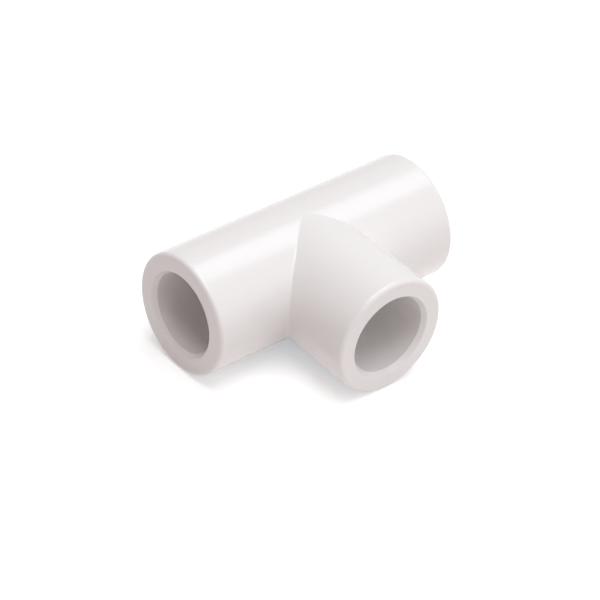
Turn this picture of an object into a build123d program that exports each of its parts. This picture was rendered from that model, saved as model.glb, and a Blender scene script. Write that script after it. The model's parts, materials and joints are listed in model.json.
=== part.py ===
from build123d import *
import os

# Tee for rigid conduit, moulded in one piece. The run lies along X, the branch points to -Y and
# +Z is up. The origin is where the two axes cross. All sizes are millimetres.

# The conduit that is pushed into each socket
conduit_diameter = 20.0
conduit_wall = 1.55
conduit_clearance = 0.15        # gap all round, between a conduit and its socket

# Sockets
socket_depth = 22.0
socket_wall = 5.15              # thickness of the barrel round a socket
lead_in_width = 0.8             # widening of the mouth that starts the conduit
lead_in_depth = 1.2
mouth_rounding = 1.1            # outer edge of each end face

# Between the sockets, where only the wires pass
run_land = 5.05                 # from the side of the branch's wire-way to a stop ledge of the run
branch_land = 3.85              # from the side of the run's wire-way to the branch's stop ledge
stop_chamfer = 0.5              # inner edge of each stop ledge
crossing_chamfer = 0.9          # edge where the wire-ways meet
shut_off_step = 0.3             # the branch's core pin is this much slimmer, to land on the run's

# Where the branch leaves the run
branch_step = 0.06              # the branch is this much slimmer, so that the blend closes over the top
junction_rounding = 0.6

# Sizes that follow from those above
socket_radius = conduit_diameter / 2 + conduit_clearance
barrel_radius = socket_radius + socket_wall
run_way_radius = conduit_diameter / 2 - conduit_wall
branch_way_radius = run_way_radius - shut_off_step
run_stop = branch_way_radius + run_land
branch_stop = run_way_radius + branch_land
run_reach = run_stop + socket_depth
branch_reach = branch_stop + socket_depth
branch_radius = barrel_radius - branch_step

# The three ways out of the centre, for shapes drawn along +Z
to_left = Rot(0, -90, 0)
to_right = Rot(0, 90, 0)
to_branch = Rot(90, 0, 0)


def barrel(radius, reach):
    """A solid barrel from the centre to its end face, whose outer edge is rounded."""
    blank = Cylinder(radius, reach, align=(Align.CENTER, Align.CENTER, Align.MIN))
    return fillet(blank.edges().sort_by(Axis.Z)[-1], mouth_rounding)


def core(reach, stop, way_radius):
    """The hollow of one arm: wire-way, stop ledge, socket and the lead-in at its mouth."""
    outline = Polyline(
        (0, 0, 0),
        (way_radius, 0, 0),
        (way_radius, 0, stop),
        (socket_radius, 0, stop),
        (socket_radius, 0, reach - lead_in_depth),
        (socket_radius + lead_in_width, 0, reach),
        (0, 0, reach),
        close=True,
    )
    pin = revolve(make_face(outline), Axis.Z)
    ledges = pin.edges().filter_by(GeomType.CIRCLE).group_by(Axis.Z)[1]
    return chamfer(ledges.sort_by(SortBy.RADIUS)[0], stop_chamfer)


def joined(run, branch, finish, size):
    """Fuse a branch to its run and finish the seam between them with a fillet or a chamfer."""
    whole = run + branch
    return finish(new_edges(run, branch, combined=whole), size)


def body():
    """The outer form of the tee, still solid."""
    run_barrel = barrel(barrel_radius, run_reach)
    branch_barrel = barrel(branch_radius, branch_reach)
    run = to_left * run_barrel + to_right * run_barrel
    return joined(run, to_branch * branch_barrel, fillet, junction_rounding)


def hollow():
    """Everything that the conduits and the wires fill."""
    run_core = core(run_reach, run_stop, run_way_radius)
    branch_core = core(branch_reach, branch_stop, branch_way_radius)
    run = to_left * run_core + to_right * run_core
    return joined(run, to_branch * branch_core, chamfer, crossing_chamfer)


def tee_body():
    """The finished moulding."""
    return body() - hollow()


os.makedirs("parts", exist_ok=True)
export_step(tee_body(), "parts/tee_body.step")
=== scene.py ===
import json
import math
import bmesh
import bpy
from bpy.props import FloatProperty, FloatVectorProperty, PointerProperty
from bpy.types import Operator, Panel, PropertyGroup
from mathutils import Matrix, Vector


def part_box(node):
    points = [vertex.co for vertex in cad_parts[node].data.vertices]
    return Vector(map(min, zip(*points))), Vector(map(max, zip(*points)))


bl_info = {
    "name": "Conduit tee",
    "version": (1, 0, 0),
    "blender": (4, 5, 0),
    "location": "3D View > Sidebar > Conduit tee",
    "description": "Finish, studio and camera for a moulded conduit tee",
    "category": "Object",
}

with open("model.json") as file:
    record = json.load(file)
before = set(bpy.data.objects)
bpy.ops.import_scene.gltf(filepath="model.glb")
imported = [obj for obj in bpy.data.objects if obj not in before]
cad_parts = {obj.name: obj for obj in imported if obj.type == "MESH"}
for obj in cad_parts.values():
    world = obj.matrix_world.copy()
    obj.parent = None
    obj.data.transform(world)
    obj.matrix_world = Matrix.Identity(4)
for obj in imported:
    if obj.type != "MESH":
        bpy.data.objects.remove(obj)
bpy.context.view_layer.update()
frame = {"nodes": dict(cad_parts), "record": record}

MM = 0.001

# The tee's own sizes, read from the frame. The run lies along X and the branch points to -Y.
low_corner, high_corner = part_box("tee_body")
BARREL_RADIUS = high_corner.z
mounts = {mount["name"]: mount for mount in frame["record"]["mounts"]}
SOCKET_RADIUS = mounts["socket_branch"]["dims"]["r_mm"] * MM


# Settings

class TeeFinishSettings(PropertyGroup):
    """Colour and surface of the moulded plastic."""

    plastic_color: FloatVectorProperty(
        name="Plastic", description="Colour of the white plastic",
        default=(0.86, 0.845, 0.84), size=3, subtype="COLOR", min=0.0, max=1.0)
    tone_variation: FloatProperty(
        name="Tone variation", description="How far the colour drifts over the moulding",
        default=0.012, min=0.0, max=0.2, subtype="FACTOR")
    roughness: FloatProperty(
        name="Roughness", description="Roughness of the polished mould's finish",
        default=0.22, min=0.0, max=1.0, subtype="FACTOR")
    roughness_variation: FloatProperty(
        name="Roughness variation", description="How far the roughness drifts over the surface",
        default=0.03, min=0.0, max=0.5, subtype="FACTOR")
    flow_size: FloatProperty(
        name="Flow size", description="Width of the slow waves that the melt leaves",
        default=9 * MM, min=0.0, unit="LENGTH")
    flow_height: FloatProperty(
        name="Flow height", description="Height of those waves",
        default=0.012 * MM, min=0.0, unit="LENGTH")
    grain_size: FloatProperty(
        name="Grain size", description="Width of the fine orange peel",
        default=0.45 * MM, min=0.0, unit="LENGTH")
    grain_height: FloatProperty(
        name="Grain height", description="Height of the fine orange peel",
        default=0.0012 * MM, min=0.0, unit="LENGTH")
    core_roughness: FloatProperty(
        name="Socket roughness", description="How much rougher the sockets are than the outside",
        default=0.08, min=0.0, max=0.5, subtype="FACTOR")
    draw_width: FloatProperty(
        name="Draw mark width", description="Width of the fine lines that the core pins leave",
        default=0.3 * MM, min=0.0, unit="LENGTH")
    draw_height: FloatProperty(
        name="Draw mark height", description="Height of those lines",
        default=0.003 * MM, min=0.0, unit="LENGTH")
    parting_width: FloatProperty(
        name="Parting line width", description="Width of the line where the mould halves meet",
        default=0.16 * MM, min=0.0, unit="LENGTH")
    parting_height: FloatProperty(
        name="Parting line height", description="Height of that line",
        default=0.02 * MM, min=0.0, unit="LENGTH")


class TeeStageSettings(PropertyGroup):
    """Floor, light and camera."""

    floor_color: FloatVectorProperty(
        name="Floor", description="Colour of the floor",
        default=(0.92, 0.885, 0.875), size=3, subtype="COLOR", min=0.0, max=1.0)
    floor_size: FloatProperty(
        name="Floor size", description="Side of the square floor",
        default=6.0, min=0.1, unit="LENGTH")
    floor_lift: FloatProperty(
        name="Floor brightness", description="Light added to the floor where the camera sees it",
        default=0.42, min=0.0, max=1.0)
    floor_lift_color: FloatVectorProperty(
        name="Floor brightness colour",
        description="Tint of that light, which keeps the floor neutral",
        default=(0.9, 0.972, 1.0), size=3, subtype="COLOR", min=0.0, max=1.0)
    room_color: FloatVectorProperty(
        name="Room light colour", description="Tint of the light from all round",
        default=(1.0, 0.78, 0.74), size=3, subtype="COLOR", min=0.0, max=1.0)
    room_strength: FloatProperty(
        name="Room light", description="Strength of the light from all round",
        default=0.252, min=0.0)
    lamp_color: FloatVectorProperty(
        name="Lamp colour", description="Tint of the lamps",
        default=(0.955, 0.985, 1.0), size=3, subtype="COLOR", min=0.0, max=1.0)
    top_power: FloatProperty(
        name="Top light", description="Power of the softbox overhead",
        default=6.73, min=0.0, unit="POWER")
    front_power: FloatProperty(
        name="Front light", description="Power of the softbox in front of the branch",
        default=1.38, min=0.0, unit="POWER")
    fill_power: FloatProperty(
        name="Fill light", description="Power of the low softbox in front on the right",
        default=0.945, min=0.0, unit="POWER")
    side_power: FloatProperty(
        name="Side light", description="Power of the softbox high on the right",
        default=0.178, min=0.0, unit="POWER")
    strip_power: FloatProperty(
        name="Strip light", description="Power of the long light that draws the gloss",
        default=1.38, min=0.0, unit="POWER")
    strip_color: FloatVectorProperty(
        name="Strip light colour",
        description="Tint of the long light, so that its gloss is white",
        default=(0.82, 0.925, 1.0), size=3, subtype="COLOR", min=0.0, max=1.0)
    camera_azimuth: FloatProperty(
        name="Azimuth", description="Angle of the camera round the tee; 0 looks along +Y",
        default=math.radians(-41.78), subtype="ANGLE")
    camera_elevation: FloatProperty(
        name="Elevation", description="Angle of the camera above the horizon",
        default=math.radians(37.467), subtype="ANGLE")
    camera_roll: FloatProperty(
        name="Roll", description="Turn of the camera about its own line of sight",
        default=math.radians(4.382), subtype="ANGLE")
    camera_distance: FloatProperty(
        name="Distance", description="Distance from the camera to the point it looks at",
        default=1.0519, min=0.01, unit="LENGTH")
    camera_aim: FloatVectorProperty(
        name="Aim", description="The point that the camera looks at",
        default=(-2.579 * MM, -4.734 * MM, -6.848 * MM), size=3, subtype="XYZ", unit="LENGTH")
    camera_lens: FloatProperty(
        name="Lens", description="Focal length on a sensor 36 mm wide",
        default=267.3, min=1.0, unit="CAMERA")


# Node helpers

def add_node(tree, kind, inputs=None, **settings):
    """Add a node, set its own settings and its inputs, where a socket as a value makes a link."""
    node = tree.nodes.new(kind)
    for name, value in settings.items():
        setattr(node, name, value)
    for name, value in (inputs or {}).items():
        if isinstance(value, bpy.types.NodeSocket):
            tree.links.new(value, node.inputs[name])
        else:
            node.inputs[name].default_value = value
    return node


def math_node(tree, operation, *values):
    """The result of a Math node; each value is a number or a socket."""
    node = add_node(tree, "ShaderNodeMath", dict(enumerate(values)), operation=operation)
    return node.outputs["Value"]


def new_group(name, inputs, outputs):
    """An empty shader node group with its sockets; returns the tree, its input and its output."""
    tree = bpy.data.node_groups.new(name, "ShaderNodeTree")
    for socket_name, kind, default in inputs:
        socket = tree.interface.new_socket(socket_name, in_out="INPUT", socket_type=kind)
        if default is not None:
            socket.default_value = default
    for socket_name, kind in outputs:
        tree.interface.new_socket(socket_name, in_out="OUTPUT", socket_type=kind)
    return tree, tree.nodes.new("NodeGroupInput"), tree.nodes.new("NodeGroupOutput")


def camera_sees(tree):
    """A mask: 1 where the camera, a reflection or a clear material looks, and 0 for light."""
    path = tree.nodes.new("ShaderNodeLightPath").outputs
    seen = math_node(tree, "MAXIMUM", path["Is Camera Ray"], path["Is Glossy Ray"])
    return math_node(tree, "MAXIMUM", seen, path["Is Transmission Ray"])


# Moulded plastic

WALL_SHARE = 0.95       # of the barrel's radius: what lies beyond it is outside
RIM_SHARE = 1.01        # of the bore's radius: what lies within it was shaped by a core pin
NOISE_MEAN = 0.5        # of a noise texture, which runs from 0 to 1


def melt_flow_group():
    """Slow drift of tone and surface left by the melt, with a fine orange peel on top."""
    tree, given, out = new_group(
        "Melt flow",
        [("Position", "NodeSocketVector", None), ("Flow size", "NodeSocketFloat", 0.01),
         ("Flow height", "NodeSocketFloat", 0.0), ("Grain size", "NodeSocketFloat", 0.001),
         ("Grain height", "NodeSocketFloat", 0.0)],
        [("Drift", "NodeSocketFloat"), ("Height", "NodeSocketFloat")])
    position = given.outputs["Position"]

    def waves(size, height, detail):
        """Noise about zero with waves of that size, plain and at that height."""
        scale = math_node(tree, "DIVIDE", 1.0, given.outputs[size])
        noise = add_node(
            tree, "ShaderNodeTexNoise", {"Vector": position, "Scale": scale, "Detail": detail})
        centred = math_node(tree, "SUBTRACT", noise.outputs["Fac"], NOISE_MEAN)
        return centred, math_node(tree, "MULTIPLY", centred, given.outputs[height])

    drift, slow_height = waves("Flow size", "Flow height", detail=1.0)
    _, fine_height = waves("Grain size", "Grain height", detail=2.0)
    tree.links.new(drift, out.inputs["Drift"])
    tree.links.new(math_node(tree, "ADD", slow_height, fine_height), out.inputs["Height"])
    return tree


def parting_line_group():
    """The fine raised line that the two mould halves leave round the barrels, at half height."""
    tree, given, out = new_group(
        "Parting line",
        [("Position", "NodeSocketVector", None), ("Width", "NodeSocketFloat", 0.0001),
         ("Height", "NodeSocketFloat", 0.0), ("Barrel radius", "NodeSocketFloat", 0.01)],
        [("Height", "NodeSocketFloat")])
    split = add_node(tree, "ShaderNodeSeparateXYZ", {"Vector": given.outputs["Position"]})
    half_width = math_node(tree, "MULTIPLY", given.outputs["Width"], 0.5)
    off_plane = math_node(tree, "ABSOLUTE", split.outputs["Z"])
    ridge = math_node(tree, "SUBTRACT", 1.0, math_node(tree, "DIVIDE", off_plane, half_width))
    ridge = math_node(tree, "MAXIMUM", ridge, 0.0)

    # It shows only outside: on the run's back, and in the corners between run and branch.
    wall = math_node(tree, "MULTIPLY", given.outputs["Barrel radius"], WALL_SHARE)

    def past_wall(distance):
        return math_node(tree, "GREATER_THAN", distance, wall)

    beside_branch = past_wall(math_node(tree, "ABSOLUTE", split.outputs["X"]))
    beside_run = past_wall(math_node(tree, "ABSOLUTE", split.outputs["Y"]))
    beside_both = math_node(tree, "MULTIPLY", beside_branch, beside_run)
    outside = math_node(tree, "MAXIMUM", past_wall(split.outputs["Y"]), beside_both)
    height = math_node(tree, "MULTIPLY", ridge, given.outputs["Height"])
    tree.links.new(math_node(tree, "MULTIPLY", height, outside), out.inputs["Height"])
    return tree


def core_finish_group():
    """Where core pins shaped the inside, and the fine lines that they leave when they draw."""
    tree, given, out = new_group(
        "Core finish",
        [("Position", "NodeSocketVector", None), ("Bore radius", "NodeSocketFloat", 0.01),
         ("Line width", "NodeSocketFloat", 0.001), ("Line height", "NodeSocketFloat", 0.0)],
        [("Inside", "NodeSocketFloat"), ("Height", "NodeSocketFloat")])
    split = add_node(tree, "ShaderNodeSeparateXYZ", {"Vector": given.outputs["Position"]})
    x, y, z = (split.outputs[axis] for axis in "XYZ")

    def section(across):
        """Where a point lies in the section square to an axis: at that coordinate and Z."""
        return add_node(tree, "ShaderNodeCombineXYZ", {"X": across, "Y": z}).outputs["Vector"]

    def from_axis(across):
        """How far the point is from that axis."""
        length = add_node(
            tree, "ShaderNodeVectorMath", {"Vector": section(across)}, operation="LENGTH")
        return length.outputs["Value"]

    # The branch's axis ends at the run's. Behind it, its distance is a metre more, so that it
    # is never the nearer.
    from_run = from_axis(y)
    behind = math_node(tree, "GREATER_THAN", y, 0.0)
    from_branch = math_node(tree, "ADD", from_axis(x), behind)
    nearest = math_node(tree, "MINIMUM", from_run, from_branch)
    rim = math_node(tree, "MULTIPLY", given.outputs["Bore radius"], RIM_SHARE)
    inside = math_node(tree, "LESS_THAN", nearest, rim)

    # Lines along the nearer axis vary only across it. A Mix node takes its two numbers at its
    # inputs 2 and 3.
    in_branch = math_node(tree, "LESS_THAN", from_branch, from_run)
    across = add_node(tree, "ShaderNodeMix", {0: in_branch, 2: y, 3: x}).outputs[0]
    scale = math_node(tree, "DIVIDE", 1.0, given.outputs["Line width"])
    lines = add_node(
        tree, "ShaderNodeTexNoise", {"Vector": section(across), "Scale": scale, "Detail": 1.0})
    height = math_node(tree, "MULTIPLY", lines.outputs["Fac"], given.outputs["Line height"])
    tree.links.new(inside, out.inputs["Inside"])
    tree.links.new(math_node(tree, "MULTIPLY", height, inside), out.inputs["Height"])
    return tree


def white_plastic(finish):
    """Glossy white plastic as it leaves a polished mould."""
    material = bpy.data.materials.new("white_moulded_plastic")
    material.use_nodes = True
    tree = material.node_tree
    shader = tree.nodes["Principled BSDF"]
    position = tree.nodes.new("ShaderNodeTexCoord").outputs["Object"]
    flow = add_node(
        tree, "ShaderNodeGroup",
        {"Position": position, "Flow size": finish.flow_size, "Flow height": finish.flow_height,
         "Grain size": finish.grain_size, "Grain height": finish.grain_height},
        node_tree=melt_flow_group())
    parting = add_node(
        tree, "ShaderNodeGroup",
        {"Position": position, "Width": finish.parting_width,
         "Height": finish.parting_height, "Barrel radius": BARREL_RADIUS},
        node_tree=parting_line_group())
    core = add_node(
        tree, "ShaderNodeGroup",
        {"Position": position, "Bore radius": SOCKET_RADIUS,
         "Line width": finish.draw_width, "Line height": finish.draw_height},
        node_tree=core_finish_group())

    drift = flow.outputs["Drift"]
    tone = math_node(tree, "MULTIPLY_ADD", drift, finish.tone_variation, 1.0)
    tinted = add_node(
        tree, "ShaderNodeVectorMath", {"Vector": tuple(finish.plastic_color), "Scale": tone},
        operation="SCALE")
    tree.links.new(tinted.outputs["Vector"], shader.inputs["Base Color"])
    roughness = math_node(
        tree, "MULTIPLY_ADD", drift, finish.roughness_variation, finish.roughness)
    roughness = math_node(
        tree, "MULTIPLY_ADD", core.outputs["Inside"], finish.core_roughness, roughness)
    tree.links.new(roughness, shader.inputs["Roughness"])
    height = math_node(tree, "ADD", flow.outputs["Height"], parting.outputs["Height"])
    height = math_node(tree, "ADD", height, core.outputs["Height"])
    bump = add_node(tree, "ShaderNodeBump", {"Height": height, "Distance": 1.0, "Strength": 1.0})
    tree.links.new(bump.outputs["Normal"], shader.inputs["Normal"])
    return material


class TEE_OT_moulding(Operator):
    """Give the moulded tee its white plastic"""

    bl_idname = "tee.moulding"
    bl_label = "Finish the moulding"

    def execute(self, context):
        tee = frame["nodes"]["tee_body"]
        tee.data.materials.clear()
        tee.data.materials.append(white_plastic(context.scene.tee_finish))
        return {"FINISHED"}


# Stage

WHITE = (1.0, 1.0, 1.0)
FLOOR_ROUGHNESS = 0.9
LAMP_DISTANCE = 1.0     # metres from the tee


def opaque(color):
    """A colour with full alpha, as a node's socket takes it."""
    return (*color, 1.0)


def direction(azimuth, elevation):
    """The unit vector from the tee towards a place at that azimuth and elevation."""
    return Vector((
        math.sin(azimuth) * math.cos(elevation),
        -math.cos(azimuth) * math.cos(elevation),
        math.sin(elevation)))


def floor(stage):
    """A pale floor under the tee, which keeps the tee's shadow."""
    material = bpy.data.materials.new("studio_floor")
    material.use_nodes = True
    tree = material.node_tree
    shader = tree.nodes["Principled BSDF"]
    shader.inputs["Base Color"].default_value = opaque(stage.floor_color)
    shader.inputs["Roughness"].default_value = FLOOR_ROUGHNESS
    shader.inputs["Specular IOR Level"].default_value = 0.0
    shader.inputs["Emission Color"].default_value = opaque(stage.floor_lift_color)
    glow = math_node(tree, "MULTIPLY", camera_sees(tree), stage.floor_lift)
    tree.links.new(glow, shader.inputs["Emission Strength"])

    mesh = bpy.data.meshes.new("floor")
    shape = bmesh.new()
    bmesh.ops.create_grid(shape, x_segments=1, y_segments=1, size=stage.floor_size / 2)
    bmesh.ops.translate(shape, verts=shape.verts, vec=(0.0, 0.0, low_corner.z))
    shape.to_mesh(mesh)
    shape.free()
    mesh.materials.append(material)
    plane = bpy.data.objects.new("floor", mesh)
    bpy.context.scene.collection.objects.link(plane)


def room(stage):
    """Even light from all round, with a white backdrop where the camera looks."""
    world = bpy.data.worlds.new("studio")
    world.use_nodes = True
    tree = world.node_tree
    tree.nodes.clear()

    def background(color, strength):
        node = add_node(
            tree, "ShaderNodeBackground", {"Color": opaque(color), "Strength": strength})
        return node.outputs["Background"]

    # A Mix Shader takes its two shaders at its inputs 1 and 2.
    mixed = add_node(
        tree, "ShaderNodeMixShader",
        {0: camera_sees(tree), 1: background(stage.room_color, stage.room_strength),
         2: background(WHITE, 1.0)})
    add_node(tree, "ShaderNodeOutputWorld", {"Surface": mixed.outputs["Shader"]})
    bpy.context.scene.world = world


def softbox(name, power, color, azimuth, elevation, width, height):
    """A rectangular lamp that faces the tee with its long side level; the angles are degrees."""
    lamp = bpy.data.lights.new(name, "AREA")
    lamp.shape = "RECTANGLE"
    lamp.size = width
    lamp.size_y = height
    lamp.energy = power
    lamp.color = color
    holder = bpy.data.objects.new(name, lamp)
    place = direction(math.radians(azimuth), math.radians(elevation))
    holder.location = place * LAMP_DISTANCE
    holder.rotation_mode = "QUATERNION"
    holder.rotation_quaternion = holder.location.to_track_quat("Z", "Y")
    bpy.context.scene.collection.objects.link(holder)


def camera(stage):
    """The camera at the photograph's angle."""
    data = bpy.data.cameras.new("camera")
    data.lens = stage.camera_lens
    data.sensor_width = 36.0
    data.clip_start = 0.01
    data.clip_end = 20.0
    back = direction(stage.camera_azimuth, stage.camera_elevation)
    level_right = Vector((0.0, 0.0, 1.0)).cross(back).normalized()
    level_up = back.cross(level_right)
    cosine, sine = math.cos(stage.camera_roll), math.sin(stage.camera_roll)
    right = level_right * cosine + level_up * sine
    up = level_up * cosine - level_right * sine
    holder = bpy.data.objects.new("camera", data)
    turn = Matrix((right, up, back)).transposed().to_4x4()
    place = Vector(stage.camera_aim) + back * stage.camera_distance
    holder.matrix_world = Matrix.Translation(place) @ turn
    bpy.context.scene.collection.objects.link(holder)
    bpy.context.scene.camera = holder


class TEE_OT_stage(Operator):
    """Set up the floor, the light and the camera"""

    bl_idname = "tee.stage"
    bl_label = "Set up the stage"

    def execute(self, context):
        stage = context.scene.tee_stage
        floor(stage)
        room(stage)
        softbox("top_light", stage.top_power, stage.lamp_color,
                azimuth=0, elevation=84, width=0.8, height=0.8)
        softbox("front_light", stage.front_power, stage.lamp_color,
                azimuth=0, elevation=36, width=0.8, height=0.8)
        softbox("fill_light", stage.fill_power, stage.lamp_color,
                azimuth=30, elevation=20, width=0.8, height=0.8)
        softbox("side_light", stage.side_power, stage.lamp_color,
                azimuth=108, elevation=68, width=0.4, height=0.4)
        softbox("strip_light", stage.strip_power, stage.strip_color,
                azimuth=103, elevation=57, width=0.6, height=0.28)
        camera(stage)
        context.scene.view_settings.view_transform = "Standard"
        return {"FINISHED"}


class TEE_PT_panel(Panel):
    """Sizes and colours of the tee, with a button for each step"""

    bl_idname = "TEE_PT_panel"
    bl_label = "Conduit tee"
    bl_space_type = "VIEW_3D"
    bl_region_type = "UI"
    bl_category = "Conduit tee"

    def draw(self, context):
        for settings, button in (
                (context.scene.tee_finish, TEE_OT_moulding.bl_idname),
                (context.scene.tee_stage, TEE_OT_stage.bl_idname)):
            box = self.layout.box()
            for name in settings.__annotations__:
                box.prop(settings, name)
            box.operator(button)


CLASSES = (TeeFinishSettings, TeeStageSettings, TEE_OT_moulding, TEE_OT_stage, TEE_PT_panel)


def register():
    for cls in CLASSES:
        bpy.utils.register_class(cls)
    bpy.types.Scene.tee_finish = PointerProperty(type=TeeFinishSettings)
    bpy.types.Scene.tee_stage = PointerProperty(type=TeeStageSettings)


def unregister():
    del bpy.types.Scene.tee_stage
    del bpy.types.Scene.tee_finish
    for cls in reversed(CLASSES):
        bpy.utils.unregister_class(cls)


def main():
    register()
    bpy.ops.tee.moulding()
    bpy.ops.tee.stage()


if __name__ == "__main__":
    main()
